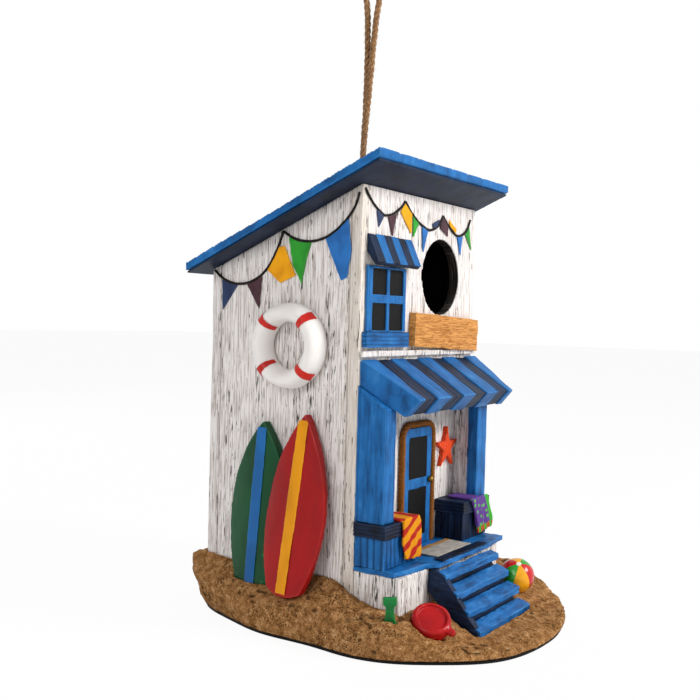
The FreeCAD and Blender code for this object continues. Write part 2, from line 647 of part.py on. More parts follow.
# ---- surfboards --------------------------------------------------------------
def surfboard(foot_y, foot_z, length, width, foot_x, lean, tip_shift):
    """Board with a domed face, leaned against the left wall, and the stripe down its middle."""
    half = width / 2
    foot = BOARD_FOOT_W / 2

    def arc_side(side):
        return arc_between(V(0, side * foot, 0), V(0, side * half, length * BOARD_WIDEST), V(0, 0, length))

    base = arc_between(V(0, -foot, 0), V(0, 0, -3.0), V(0, foot, 0))
    outline = Part.Face(Part.Wire([base, arc_side(1), arc_side(-1)])).extrude(V(-2 * BOARD_T, 0, 0))

    def domed(extra):
        edge = -BOARD_EDGE - extra
        reach = half + 1.0
        low = -4.0
        corners = [V(0, -reach, low), V(0, reach, low), V(edge, reach, low), V(edge, -reach, low)]
        sides = [Part.makeLine(corners[0], corners[1]), Part.makeLine(corners[1], corners[2]),
                 arc_between(corners[2], V(-BOARD_T - extra, 0, low), corners[3]),
                 Part.makeLine(corners[3], corners[0])]
        return Part.Face(Part.Wire(sides)).extrude(V(0, 0, length + 4.0))

    board = outline.common(domed(0.0))
    strip = block(-FAR, FAR, -STRIPE_W / 2, STRIPE_W / 2, -1.5, length - 3.0)
    stripe = outline.common(domed(STRIPE_PROUD)).common(strip).cut(board)
    pair = []
    for shape in (board, stripe):
        shape.rotate(V(0, 0, 0), Y_AXIS, lean)
        shape.rotate(V(0, 0, 0), X_AXIS, tip_shift)
        shape.translate(V(foot_x, foot_y, foot_z))
        pair.append(shape)
    return pair


# ---- beach toys --------------------------------------------------------------
def toy_spade():
    """Spade stood in the sand: a cross grip, a shaft and a blade that widens downwards."""
    half = 1.3
    outline = [(-4.6, -2.0), (4.6, -2.0), (4.0, 1.0), (2.2, 6.0), (1.9, 10.8), (3.1, 11.6), (3.1, 15.0),
               (-3.1, 15.0), (-3.1, 11.6), (-1.9, 10.8), (-2.2, 6.0), (-4.2, 2.0)]
    spade = prism_y(outline, -half, half)
    spade.rotate(V(0, 0, 0), Z_AXIS, -52)
    spade.translate(V(LEFT_X - 7.4, FRONT_Y - 24.4, 11.8))
    return spade


def toy_dish():
    """Round toy dish tipped up in the sand: a raised rim, a sunk face and a small lip."""
    thick, rim, sunk = 7.0, 2.3, 1.2
    body = Part.makeCylinder(DISH_R, thick, V(0, 0, -thick))
    body = body.makeFillet(1.7, body.Edges)
    body = body.cut(Part.makeCylinder(DISH_R - rim, 2 * sunk, V(0, 0, -sunk)))
    lip = Part.makeCone(2.6, 1.3, 5.2, V(DISH_R - 2.2, 0, -2.9), X_AXIS)
    lip.rotate(V(0, 0, 0), Z_AXIS, -38)
    dish = body.fuse(lip).removeSplitter()
    dish.rotate(V(0, 0, 0), X_AXIS, 32)
    dish.rotate(V(0, 0, 0), Z_AXIS, -50)
    dish.translate(V(LEFT_X + 6.2, FRONT_Y - 37.6, 17.8))
    return dish


def beach_ball():
    return Part.makeSphere(BALL_R, V(MID_X + STEP_W / 2 + 11.0, FRONT_Y - 38.5, 17.8))


# ---- clean-out plug ----------------------------------------------------------
def cleanout_plug():
    """Round plug in the back wall, drawn straight out by its finger bar."""
    seat = BACK_Y + PLUG_CLEAR
    body = Part.makeCylinder(PLUG_R, WALL + PLUG_CLEAR, V(0, BACK_Y - WALL, PLUG_Z), Y_AXIS)
    flange = Part.makeCylinder(FLANGE_R, FLANGE, V(0, seat, PLUG_Z), Y_AXIS)
    grip_w, grip_reach, grip_h = GRIP
    bar = block(-grip_w / 2, grip_w / 2, seat + FLANGE, seat + FLANGE + grip_reach,
                PLUG_Z - grip_h / 2, PLUG_Z + grip_h / 2)
    return body.fuse(flange).fuse(bar).removeSplitter()


# ---- hanging twine -----------------------------------------------------------
# The two legs of the loop rise through one hole, one behind the other, part near the top and close
# over a hook. Points are (across, deep, z) from the hole: across runs left to right, deep runs away
# from the front-left corner.
TWINE_ROUTE = [(0.2, 1.7, 184.0), (0.6, 1.9, 226.0), (1.9, 1.75, 254.0), (1.8, 0.7, 302.0), (-1.4, 0.1, 318.0),
               (9.2, -0.1, 318.0), (5.7, -0.9, 300.0), (3.2, -1.7, 262.0), (0.4, -1.9, 228.0), (-0.2, -1.7, 184.0)]
ACROSS = V(0.562, -0.827, 0)
DEEP = V(0.827, 0.562, 0)


def twine_route():
    hole = V(TWINE_X, TWINE_Y, 0)
    return [hole + ACROSS * across + DEEP * deep + Z_AXIS * z for across, deep, z in TWINE_ROUTE]


def tangent_arc_wire(points):
    """Straight runs joined by tangent arcs as large as the runs allow."""
    edges = []
    radii = []
    here = points[0]
    for i in range(1, len(points) - 1):
        back = (points[i - 1] - points[i])
        ahead = (points[i + 1] - points[i])
        run = min(back.Length, ahead.Length)
        back.normalize()
        ahead.normalize()
        turn = math.pi - back.getAngle(ahead)
        cut = 0.45 * run
        radius = cut / math.tan(turn / 2)
        start = points[i] + back * cut
        end = points[i] + ahead * cut
        middle = (back + ahead).normalize()
        via = points[i] + middle * (radius / math.cos(turn / 2) - radius)
        edges.append(Part.LineSegment(here, start).toShape())
        edges.append(arc_between(start, via, end))
        radii.append(round(radius, 1))
        here = end
    edges.append(Part.LineSegment(here, points[-1]).toShape())
    return edges, radii


def hanging_parts():
    normal = V(0, SLOPE, 1).normalize()
    seat = V(TWINE_X, TWINE_Y, roof_under(TWINE_Y))
    washer = Part.makeCylinder(WASHER_R, WASHER, seat - normal * WASHER, normal)
    washer = washer.cut(Part.makeCylinder(TWINE_HOLE_R, FAR, V(TWINE_X, TWINE_Y, 0)))
    under = Part.makeCylinder(FAR, FAR, seat - normal * WASHER, normal)
    knot = Part.makeSphere(KNOT_R, seat - normal * (WASHER + KNOT_R - KNOT_FLAT)).cut(under)
    edges, radii = tangent_arc_wire(twine_route())
    twine = rod_along(edges, TWINE_D / 2)
    length = sum(edge.Length for edge in edges)
    ideal = math.pi * TWINE_D ** 2 / 4 * length
    print("twine length", round(length, 1), "radii", radii, "volume share", round(twine.Volume / ideal, 4))
    return washer, knot, twine


# ---- assembly ----------------------------------------------------------------
def main():
    os.makedirs("parts", exist_ok=True)
    front, back, left, right, floor = house_walls()
    lining, roof = roof_parts()
    plinth, deck = porch_base()
    core, awning_blue, awning_navy = awning_parts()
    left_post, right_post, wing = porch_uprights(core)
    hood, hood_navy, hood_blue = hood_parts()
    treads, risers, left_stringer, right_stringer = step_parts()
    green_board, green_stripe = surfboard(36.5, 18.6, 78.0, BOARD_W + 2.0, LEFT_X - 4.2, 3.0, 2.4)
    red_board, red_stripe = surfboard(12.5, 21.0, 81.0, BOARD_W, LEFT_X - 10.6, 7.0, 2.9)
    green_board = green_board.cut(red_board)
    ball = beach_ball()
    spade = toy_spade()
    dish = toy_dish()

    pocket = block(LEFT_X, RIGHT_X, FRONT_Y, BACK_Y, WALL_FOOT, FAR)
    sand = sand_solid().cut(pocket)
    for sunk in [plinth, left_stringer, right_stringer, *risers, *treads, green_board, red_board, green_stripe,
                 red_stripe, ball, spade, dish]:
        sand = sand.cut(sunk)
    sand = max(sand.Solids, key=lambda solid: solid.Volume)
    pad = Part.Face(base_outline(PAD_INSET, 0.0, 0.0)).extrude(V(0, 0, PAD))

    save("base_pad", pad)
    save("sand_base", sand)
    save("nest_floor", floor)
    save("front_wall", front)
    save("back_wall", back)
    save("left_wall", left)
    save("right_wall", right)
    save("roof_lining", lining)
    save("roof_board", roof)

    save("porch_plinth", plinth)
    save("porch_deck", deck)
    left_x1 = LEFT_X + HALF_WALL_W
    right_x0 = PORCH_RIGHT - HALF_WALL_W
    save("left_half_wall", half_wall(LEFT_X, left_x1))
    save("right_half_wall", half_wall(right_x0, PORCH_RIGHT))
    save("cap_rails", cap_rail(LEFT_X, left_x1), cap_rail(right_x0, PORCH_RIGHT))
    save("left_post", left_post)
    save("right_post", right_post)
    save("porch_side_wall", wing)
    mat, nosing = mats()
    save("door_mat", mat)
    save("deck_nosing", nosing)

    save("awning_core", core)
    save("awning_blue_boards", *awning_blue)
    save("awning_navy_boards", *awning_navy)
    save("window_hood", hood)
    save("hood_navy_boards", *hood_navy)
    save("hood_blue_boards", *hood_blue)
    frame, panes, sill = window_parts()
    save("window_frame", frame)
    save("window_panes", *panes)
    save("window_sill", sill)
    save("ledge_board", ledge_board())
    save("sign_board", sign_board())
    slab, door_panes, knob = door_parts()
    save("door_slab", slab)
    save("door_panes", *door_panes)
    save("door_knob", knob)
    save("door_rope_trim", rope_trim())
    save("starfish", starfish())

    save("step_treads", *treads)
    save("step_risers", *risers)
    save("step_stringers", left_stringer, right_stringer)

    striped, dotted = towels()
    save("striped_towel", striped)
    save("dotted_towel", dotted)
    ring, bands = life_ring()
    save("life_ring", ring)
    save("life_ring_bands", *bands)
    left_cord = bunting_cord(on_left, LEFT_SWAGS, INSIDE_LEFT)
    front_cord = bunting_cord(on_front, FRONT_SWAGS, BEHIND_FRONT)
    save("bunting_cords", left_cord, front_cord)
    for colour in FLAG_COLOURS:
        save("pennants_" + colour, *flag_group(colour, left_cord, front_cord))
    save("green_surfboard", green_board)
    save("green_board_stripe", green_stripe)
    save("red_surfboard", red_board)
    save("red_board_stripe", red_stripe)
    save("beach_ball", ball)
    save("toy_spade", spade)
    save("toy_dish", dish)

    save("cleanout_plug", cleanout_plug())
    washer, knot, twine = hanging_parts()
    save("twine_washer", washer)
    save("twine_knot", knot)
    save("hanging_twine", twine)


main()
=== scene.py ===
"""Looks for the hanging beach-hut birdhouse. Metres, in the part's own frame; the front faces -Y."""
import bpy
import json
import math
import numpy as np
from mathutils import Matrix, Vector


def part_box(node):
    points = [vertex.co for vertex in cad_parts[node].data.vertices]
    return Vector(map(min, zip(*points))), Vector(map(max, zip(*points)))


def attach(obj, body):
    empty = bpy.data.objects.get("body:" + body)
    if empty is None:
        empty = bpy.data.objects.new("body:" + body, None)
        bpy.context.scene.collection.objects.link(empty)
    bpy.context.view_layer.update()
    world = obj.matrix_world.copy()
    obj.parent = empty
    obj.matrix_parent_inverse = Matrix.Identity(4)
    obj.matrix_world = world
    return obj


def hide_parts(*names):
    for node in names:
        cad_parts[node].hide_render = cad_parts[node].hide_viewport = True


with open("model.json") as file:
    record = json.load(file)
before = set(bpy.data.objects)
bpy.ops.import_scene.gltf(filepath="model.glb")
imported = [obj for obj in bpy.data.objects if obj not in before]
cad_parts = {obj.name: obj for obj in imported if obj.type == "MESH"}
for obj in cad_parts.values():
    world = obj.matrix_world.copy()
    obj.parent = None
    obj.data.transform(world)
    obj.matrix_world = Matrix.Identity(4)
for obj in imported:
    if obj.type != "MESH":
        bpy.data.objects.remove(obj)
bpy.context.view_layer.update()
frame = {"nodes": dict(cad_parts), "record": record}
NODES = frame["nodes"]
MM = 0.001
HOUSE = "house"


# ---- shader writing ----------------------------------------------------------
class Wire:
    """A shader output that takes part in ordinary arithmetic."""

    def __init__(self, finish, socket):
        self.finish = finish
        self.socket = socket

    def __add__(self, other):
        return self.finish.math("ADD", self, other)

    def __radd__(self, other):
        return self.finish.math("ADD", other, self)

    def __sub__(self, other):
        return self.finish.math("SUBTRACT", self, other)

    def __rsub__(self, other):
        return self.finish.math("SUBTRACT", other, self)

    def __mul__(self, other):
        return self.finish.math("MULTIPLY", self, other)

    def __rmul__(self, other):
        return self.finish.math("MULTIPLY", other, self)

    def __truediv__(self, other):
        return self.finish.math("DIVIDE", self, other)

    def __rtruediv__(self, other):
        return self.finish.math("DIVIDE", other, self)

    def __mod__(self, other):
        return self.finish.math("FLOORED_MODULO", self, other)

    def __gt__(self, other):
        return self.finish.math("GREATER_THAN", self, other)

    def __lt__(self, other):
        return self.finish.math("LESS_THAN", self, other)

    def __abs__(self):
        return self.finish.math("ABSOLUTE", self)


class Finish:
    """A node material in the making."""

    def __init__(self, name):
        self.material = bpy.data.materials.new(name)
        self.material.use_nodes = True
        self.tree = self.material.node_tree
        self.tree.nodes.clear()
        self.place = self.add("ShaderNodeTexCoord", out="Object")
        parts = self.add("ShaderNodeSeparateXYZ", {}, {0: self.place}, out=None)
        self.x, self.y, self.z = (Wire(self, parts.outputs[i]) for i in range(3))

    def add(self, kind, settings=None, inputs=None, out=0):
        """One node: its settings first, then its inputs. Gives the named output, or the node itself."""
        node = self.tree.nodes.new(kind)
        for key, value in (settings or {}).items():
            if key == "stops":
                ramp = node.color_ramp
                for _ in range(len(value) - len(ramp.elements)):
                    ramp.elements.new(1.0)
                for element, (at, colour) in zip(ramp.elements, value):
                    element.position = at
                    element.color = (*colour, 1.0)
            elif key == "steps":
                node.color_ramp.interpolation = value
            else:
                setattr(node, key, value)
        for key, value in (inputs or {}).items():
            if isinstance(value, Wire):
                self.tree.links.new(value.socket, node.inputs[key])
            else:
                node.inputs[key].default_value = value
        return node if out is None else Wire(self, node.outputs[out])

    def math(self, operation, *values):
        return self.add("ShaderNodeMath", {"operation": operation}, dict(enumerate(values)))

    def clamp(self, value, low, high):
        """0 below low, 1 above high, smooth between."""
        return self.add("ShaderNodeMapRange", {"interpolation_type": "SMOOTHSTEP"},
                        {0: value, 1: low, 2: high, 3: 0.0, 4: 1.0})

    def mix(self, share, a, b):
        wrap = [v if isinstance(v, Wire) else (*v, 1.0) for v in (a, b)]
        return self.add("ShaderNodeMix", {"data_type": "RGBA"}, {0: share, 6: wrap[0], 7: wrap[1]}, out=2)

    def ramp(self, value, stops, steps="LINEAR"):
        return self.add("ShaderNodeValToRGB", {"stops": stops, "steps": steps}, {0: value})

    def at(self, cell, turn=(0.0, 0.0, 0.0), shift=(0.0, 0.0, 0.0)):
        """Place measured in cells of this size in millimetres along each axis."""
        turned = self.add("ShaderNodeMapping", {}, {0: self.place, 1: shift, 2: turn})
        return self.add("ShaderNodeMapping", {}, {0: turned, 3: tuple(1 / (c * MM) for c in cell)})

    def noise(self, cell, detail=2.0, rough=0.5, warp=0.0, **kw):
        return self.add("ShaderNodeTexNoise", {}, {"Vector": self.at(cell, **kw), "Scale": 1.0, "Detail": detail,
                                                   "Roughness": rough, "Distortion": warp})

    def spots(self, cell, feature="F1", **kw):
        return self.add("ShaderNodeTexVoronoi", {"feature": feature}, {"Vector": self.at(cell, **kw), "Scale": 1.0})

    def facing(self, axis):
        """How squarely the surface faces along an axis, 0 to 1."""
        parts = self.add("ShaderNodeSeparateXYZ", {}, {0: self.add("ShaderNodeNewGeometry", out="Normal")}, out=None)
        return abs(Wire(self, parts.outputs[axis]))

    def upright(self, wide, tall, detail=2.0, rough=0.5, shift=0.0):
        """Noise on upright boards, whichever way they face: cells wide across the grain, tall along it."""
        sideways = self.facing(0) > 0.7
        across = self.y * sideways + self.x * (1 - sideways)
        place = self.add("ShaderNodeCombineXYZ", {}, {0: across / (wide * MM) + shift, 1: self.z / (tall * MM) + shift})
        return self.add("ShaderNodeTexNoise", {"noise_dimensions": "2D"},
                        {"Vector": place, "Scale": 1.0, "Detail": detail, "Roughness": rough})

    def mark(self, name):
        """A value carved into the mesh, point by point."""
        return self.add("ShaderNodeAttribute", {"attribute_name": name}, {}, out="Fac")

    def edge(self, low=0.515, high=0.56):
        """1 on raised outer edges and crests, which the finishes paint paler: a painted highlight, and worn paint as
        well on the brushed boards.
        """
        return self.clamp(self.add("ShaderNodeNewGeometry", out="Pointiness"), low, high)

    def done(self, colour, rough, relief=None, depth=0.3, metal=0.0, coat=0.0, coat_rough=0.2, sheen=0.0, shine=0.12):
        """Surface from a colour, a roughness and a relief whose full height is depth millimetres."""
        inputs = {"Base Color": colour if isinstance(colour, Wire) else (*colour, 1.0), "Roughness": rough,
                  "Metallic": metal, "Coat Weight": coat, "Coat Roughness": coat_rough, "Sheen Weight": sheen,
                  "Specular IOR Level": 0.5 if metal else shine}
        if relief is not None:
            inputs["Normal"] = self.add("ShaderNodeBump", {}, {"Strength": 1.0, "Distance": depth * MM,
                                                               "Height": relief})
        shader = self.add("ShaderNodeBsdfPrincipled", {}, inputs)
        self.add("ShaderNodeOutputMaterial", {}, {0: shader}, out=None)
        return self.material


def hue(text):
    """Colour from its usual six-digit code, as the shader wants it."""
    parts = [int(text[i:i + 2], 16) / 255 for i in (0, 2, 4)]
    return tuple(p / 12.92 if p <= 0.04045 else ((p + 0.055) / 1.055) ** 2.4 for p in parts)


# ---- shape helpers -----------------------------------------------------------
def lattice(points, cell, seed):
    """Smooth noise from -1 to 1 at points in metres, with cells in millimetres."""
    p = points / (np.array(cell) * MM) + seed * 7.31
    base = np.floor(p).astype(np.int64)
    part = p - base
    part = part * part * (3 - 2 * part)
    total = np.zeros(len(points))
    for corner in range(8):
        bit = np.array([corner & 1, corner >> 1 & 1, corner >> 2 & 1])
        key = (base + bit).astype(np.uint64)
        mixed = key[:, 0] * np.uint64(73856093) ^ key[:, 1] * np.uint64(19349663) ^ key[:, 2] * np.uint64(83492791)
        mixed = (mixed ^ np.uint64(seed * 2654435761 % 2 ** 32)) * np.uint64(0x9E3779B97F4A7C15)
        value = (mixed >> np.uint64(40)).astype(float) / 2 ** 24
        weight = np.prod(np.where(bit == 1, part, 1 - part), axis=1)
        total += value * weight
    return total * 2 - 1


def step_up(value, low, high):
    t = np.clip((value - low) / (high - low), 0, 1)
    return t * t * (3 - 2 * t)


def new_piece(name, verts, faces, material, body=HOUSE, smooth=True):
    mesh = bpy.data.meshes.new(name)
    mesh.from_pydata([tuple(v) for v in verts], [], faces)
    mesh.materials.append(material)
    mesh.polygons.foreach_set("use_smooth", [smooth] * len(mesh.polygons))
    mesh.update()
    piece = bpy.data.objects.new(name, mesh)
    bpy.context.scene.collection.objects.link(piece)
    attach(piece, body)
    return piece


def slot_of(node):
    for entry in frame["record"]["subparts"]:
        if entry["node"] == node:
            return entry["material_slot"]
    return None


def carve(nodes, voxel, soften, relief, material, body=HOUSE, name=None):
    """A CAD part gone over by hand: edges eased, surface worked by relief(points, normals).

    relief gives how far each point moves along its normal in millimetres, and the marks it leaves.
    """
    nodes = [nodes] if isinstance(nodes, str) else nodes
    name = name or nodes[0] + "_worked"
    verts, faces = [], []
    for node in nodes:
        source = NODES[node].data
        start = len(verts)
        verts += [v.co[:] for v in source.vertices]
        faces += [[start + i for i in p.vertices] for p in source.polygons]
    blank = bpy.data.meshes.new("blank")
    blank.from_pydata(verts, [], faces)
    holder = bpy.data.objects.new("blank", blank)
    bpy.context.scene.collection.objects.link(holder)
    weld = holder.modifiers.new("weld", "WELD")
    weld.merge_threshold = 0.01 * MM
    remesh = holder.modifiers.new("remesh", "REMESH")
    remesh.mode = "VOXEL"
    remesh.voxel_size = voxel * MM
    if soften:
        smooth = holder.modifiers.new("smooth", "SMOOTH")
        smooth.iterations = soften
        smooth.factor = 0.5
    bpy.context.view_layer.update()
    shaped = holder.evaluated_get(bpy.context.evaluated_depsgraph_get())
    mesh = bpy.data.meshes.new_from_object(shaped)
    bpy.data.objects.remove(holder)
    count = len(mesh.vertices)
    points = np.zeros(count * 3)
    normals = np.zeros(count * 3)
    mesh.vertices.foreach_get("co", points)
    mesh.vertices.foreach_get("normal", normals)
    points = points.reshape(-1, 3)
    normals = normals.reshape(-1, 3)
    if relief is not None:
        lift, marks = relief(points, normals)
        mesh.vertices.foreach_set("co", (points + normals * (lift * MM)[:, None]).ravel())
        for key, values in marks.items():
            mesh.attributes.new(key, "FLOAT", "POINT").data.foreach_set("value", values.astype(np.float32))
    mesh.materials.clear()
    mesh.materials.append(material)
    mesh.polygons.foreach_set("use_smooth", [True] * len(mesh.polygons))
    mesh.update()
    mesh.name = name
    piece = bpy.data.objects.new(name, mesh)
    bpy.context.scene.collection.objects.link(piece)
    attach(piece, body)
    slot_of(nodes[0])
    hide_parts(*nodes)
    return piece


def coat_node(node, material):
    """A CAD part kept as it is, with its finish."""
    node = NODES[node]
    if not node.material_slots:
        node.data.materials.append(material)
    for slot in node.material_slots:
        slot.material = material


def frames_along(path):
    """Steady side directions along a line of points."""
    path = np.array(path, float)
    along = np.gradient(path, axis=0)
    along /= np.linalg.norm(along, axis=1)[:, None]
    side = np.cross(along[0], [0.3, 0.5, 0.81])
    side /= np.linalg.norm(side)
    sides = []
    for t in along:
        side = side - t * side.dot(t)
        side /= np.linalg.norm(side)
        sides.append(side.copy())
    sides = np.array(sides)
    return path, sides, np.cross(along, sides)


def tube_mesh(path, radius, around, verts, faces, closed_ends=True):
    """Adds a tube along a path to a vertex and face list."""
    path, side, other = frames_along(path)
    start = len(verts)
    radii = np.broadcast_to(radius, (len(path),))
    for i in range(len(path)):
        for k in range(around):
            a = 2 * math.pi * k / around
            verts.append(path[i] + (side[i] * math.cos(a) + other[i] * math.sin(a)) * radii[i])
    for i in range(len(path) - 1):
        for k in range(around):
            a = start + i * around + k
            b = start + i * around + (k + 1) % around
            faces.append((a, b, b + around, a + around))
    if closed_ends:
        faces.append(tuple(start + k for k in reversed(range(around))))
        last = start + (len(path) - 1) * around
        faces.append(tuple(last + k for k in range(around)))


def resample(path, spacing):
    path = np.array(path, float)
    run = np.r_[0, np.cumsum(np.linalg.norm(np.diff(path, axis=0), axis=1))]
    wanted = np.linspace(0, run[-1], max(8, int(run[-1] / spacing)))
    return np.stack([np.interp(wanted, run, path[:, k]) for k in range(3)], axis=1), wanted


def laid_rope(path, strands, lay_radius, strand_radius, pitch, spacing, around=8):
    """Strands laid round each other along a path."""
    path, run = resample(path, spacing)
    centre, side, other = frames_along(path)
    verts, faces = [], []
    for s in range(strands):
        angle = 2 * math.pi * (run / pitch + s / strands)
        offset = side * np.cos(angle)[:, None] + other * np.sin(angle)[:, None]
        uneven = 1 + 0.07 * np.sin(run / pitch * 2.3 + s * 2.1)
        tube_mesh(centre + offset * lay_radius, strand_radius * uneven, around, verts, faces)
    return verts, faces


# ---- camera, light and floor -------------------------------------------------
def set_camera():
    turn, dip, roll = math.radians(-55.83), math.radians(1.81), math.radians(1.5)
    back = Vector((math.sin(turn) * math.cos(dip), -math.cos(turn) * math.cos(dip), math.sin(dip)))
    level = Vector((math.cos(turn), math.sin(turn), 0))
    rise = back.cross(level)
    across = level * math.cos(roll) + rise * math.sin(roll)
    upward = rise * math.cos(roll) - level * math.sin(roll)
    data = bpy.data.cameras.new("camera")
    data.sensor_width = 36.0
    data.sensor_fit = "HORIZONTAL"
    data.lens = 48.79
    data.clip_start = 0.01
    data.clip_end = 50.0
    camera = bpy.data.objects.new("camera", data)
    turned = Matrix((across, upward, back)).transposed().to_4x4()
    camera.matrix_world = Matrix.Translation((-0.4068, -0.2501, 0.145)) @ turned
    bpy.context.scene.collection.objects.link(camera)
    bpy.context.scene.camera = camera


def add_lamp(name, place, aim, size, power, colour=(1, 1, 1)):
    data = bpy.data.lights.new(name, "AREA")
    data.shape = "DISK"
    data.size = size
    data.energy = power
    data.color = colour
    lamp = bpy.data.objects.new(name, data)
    lamp.location = place
    lamp.rotation_euler = (Vector(place) - Vector(aim)).to_track_quat("Z", "Y").to_euler()
    bpy.context.scene.collection.objects.link(lamp)


def set_studio():
    add_lamp("key_lamp", (0.30, -1.00, 0.75), (0, 0, 0.10), 0.45, 13.5, (1.0, 0.985, 0.965))
    add_lamp("side_lamp", (-1.10, -0.10, 0.65), (0, 0, 0.12), 0.60, 4.6, (1.0, 0.985, 0.98))
    add_lamp("back_lamp", (0.30, 1.00, 0.80), (0, 0, 0.12), 0.70, 5.0)
    world = bpy.data.worlds.new("studio")
    world.use_nodes = True
    nodes = world.node_tree.nodes
    nodes.clear()
    seen = nodes.new("ShaderNodeLightPath")
    either = nodes.new("ShaderNodeMath")
    either.operation = "MAXIMUM"
    any_clear = nodes.new("ShaderNodeMath")
    any_clear.operation = "MAXIMUM"
    strength = nodes.new("ShaderNodeMapRange")
    strength.inputs[3].default_value = 0.36
    strength.inputs[4].default_value = 1.0
    sky = nodes.new("ShaderNodeBackground")
    sky.inputs["Color"].default_value = (1, 1, 1, 1)
    out = nodes.new("ShaderNodeOutputWorld")
    link = world.node_tree.links.new
    link(seen.outputs["Is Camera Ray"], either.inputs[0])
    link(seen.outputs["Is Glossy Ray"], either.inputs[1])
    link(either.outputs[0], any_clear.inputs[0])
    link(seen.outputs["Is Transmission Ray"], any_clear.inputs[1])
    link(any_clear.outputs[0], strength.inputs[0])
    link(strength.outputs[0], sky.inputs["Strength"])
    link(sky.outputs[0], out.inputs[0])
    bpy.context.scene.world = world
    bpy.context.scene.view_settings.view_transform = "Standard"

    floor_finish = Finish("studio_floor")
    wide = floor_finish.noise((400, 400, 400), 1.0)
    matt = floor_finish.add("ShaderNodeBsdfDiffuse", {}, {0: floor_finish.mix(wide, (0.86, 0.86, 0.86), (0.9, 0.9, 0.9))})
    glow = floor_finish.add("ShaderNodeEmission", {}, {0: (1, 1, 1, 1), 1: 1.0})
    path = floor_finish.add("ShaderNodeLightPath", out=None)
    direct = floor_finish.math("MAXIMUM", Wire(floor_finish, path.outputs["Is Camera Ray"]),
                               Wire(floor_finish, path.outputs["Is Glossy Ray"]))
    mixed = floor_finish.add("ShaderNodeMixShader", {}, {0: direct * 0.94, 1: matt, 2: glow})
    floor_finish.add("ShaderNodeOutputMaterial", {}, {0: mixed}, out=None)
    half = 6.0
    mesh = bpy.data.meshes.new("studio_floor")
    mesh.from_pydata([(-half, -half, 0), (half, -half, 0), (half, half, 0), (-half, half, 0)], [], [(0, 1, 2, 3)])
    mesh.materials.append(floor_finish.material)
    floor = bpy.data.objects.new("studio_floor", mesh)
    bpy.context.scene.collection.objects.link(floor)


set_camera()
set_studio()


# ---- hanging twine -----------------------------------------------------------
TWINE_HOLE = Vector((-4.0, 19.5, 0)) * MM
ACROSS = Vector((0.562, -0.827, 0))
DEEP = Vector((0.827, 0.562, 0))
TWINE_ROUTE = [(0.2, 1.7, 184.0), (0.6, 1.9, 226.0), (1.9, 1.75, 254.0), (1.8, 0.7, 302.0), (-1.4, 0.1, 318.0),
               (9.2, -0.1, 318.0), (5.7, -0.9, 300.0), (3.2, -1.7, 262.0), (0.4, -1.9, 228.0), (-0.2, -1.7, 184.0)]


def jute_finish():
    f = Finish("jute")
    fibre = f.noise((0.3, 0.3, 2.0), 3.0, 0.65, 0.6)
    tone = f.noise((3.0, 3.0, 5.0), 2.0)
    colour = f.mix(f.clamp(fibre, 0.36, 0.62), hue("5B3A20"), hue("B98E62"))
    colour = f.mix(f.clamp(tone, 0.45, 0.7) * 0.45, colour, hue("7D5634"))
    return f.done(colour, 0.85, fibre, 0.3, sheen=0.15)


def hanging_twine():
    data = bpy.data.curves.new("twine_route", "CURVE")
    data.dimensions = "3D"
    data.resolution_u = 24
    spline = data.splines.new("NURBS")
    route = [TWINE_HOLE + (ACROSS * a + DEEP * d + Vector((0, 0, z))) * MM for a, d, z in TWINE_ROUTE]
    spline.points.add(len(route) - 1)
    for point, place in zip(spline.points, route):
        point.co = (*place, 1.0)
    spline.order_u = 3
    spline.use_endpoint_u = True
    line = bpy.data.objects.new("twine_route", data)
    bpy.context.scene.collection.objects.link(line)
    bpy.context.view_layer.update()
    drawn = bpy.data.meshes.new_from_object(line.evaluated_get(bpy.context.evaluated_depsgraph_get()))
    path = [drawn.vertices[0].co.copy()]
    for vertex in drawn.vertices:
        if (vertex.co - path[-1]).length > 0.05 * MM:
            path.append(vertex.co.copy())
    bpy.data.objects.remove(line)
    jute = jute_finish()
    verts, faces = laid_rope(path, 3, 0.8 * MM, 0.84 * MM, 10.0 * MM, 0.5 * MM, 9)
    twine = new_piece("jute_twine", verts, faces, jute)
    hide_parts("hanging_twine")

    rng = np.random.default_rng(5)
    spread, _ = resample(path, 0.5 * MM)
    verts, faces = [], []
    for _ in range(150):
        i = int(rng.integers(20, len(spread) - 30))
        out = rng.normal(size=3)
        along = spread[i + 6] - spread[i]
        along /= np.linalg.norm(along)
        out -= along * out.dot(along)
        out /= np.linalg.norm(out)
        length = rng.uniform(2.0, 5.0) * MM
        lift = rng.uniform(0.5, 1.7) * MM
        hair = [spread[i] + out * (1.3 * MM + lift * t * t) + along * length * t * (1 if i % 2 else -1)
                for t in np.linspace(0, 1, 6)]
        tube_mesh(hair, np.linspace(0.07, 0.03, 6) * MM, 4, verts, faces)
    hairs = new_piece("twine_fibres", verts, faces, jute)

    low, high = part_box("twine_knot")
    centre = np.array((low + high) / 2)
    t = np.linspace(0, 2 * math.pi, 420)
    reach = 4.9 * MM
    tilt = 1.05 * np.sin(3 * t)
    ball = np.stack([np.cos(tilt) * np.cos(4 * t), np.cos(tilt) * np.sin(4 * t), np.sin(tilt)], axis=1) * reach
    verts, faces = laid_rope(centre + ball, 3, 0.75 * MM, 0.75 * MM, 8.0 * MM, 0.6 * MM, 7)
    core = (centre + ball * 0.45).tolist()
    tube_mesh(core[::6], 2.6 * MM, 8, verts, faces)
    knot = new_piece("twine_knot_wound", verts, faces, jute)
    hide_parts("twine_knot")


hanging_twine()

# ---- paints ------------------------------------------------------------------
WHITE = hue("E9E4DA")
SOOT = hue("2B2620")


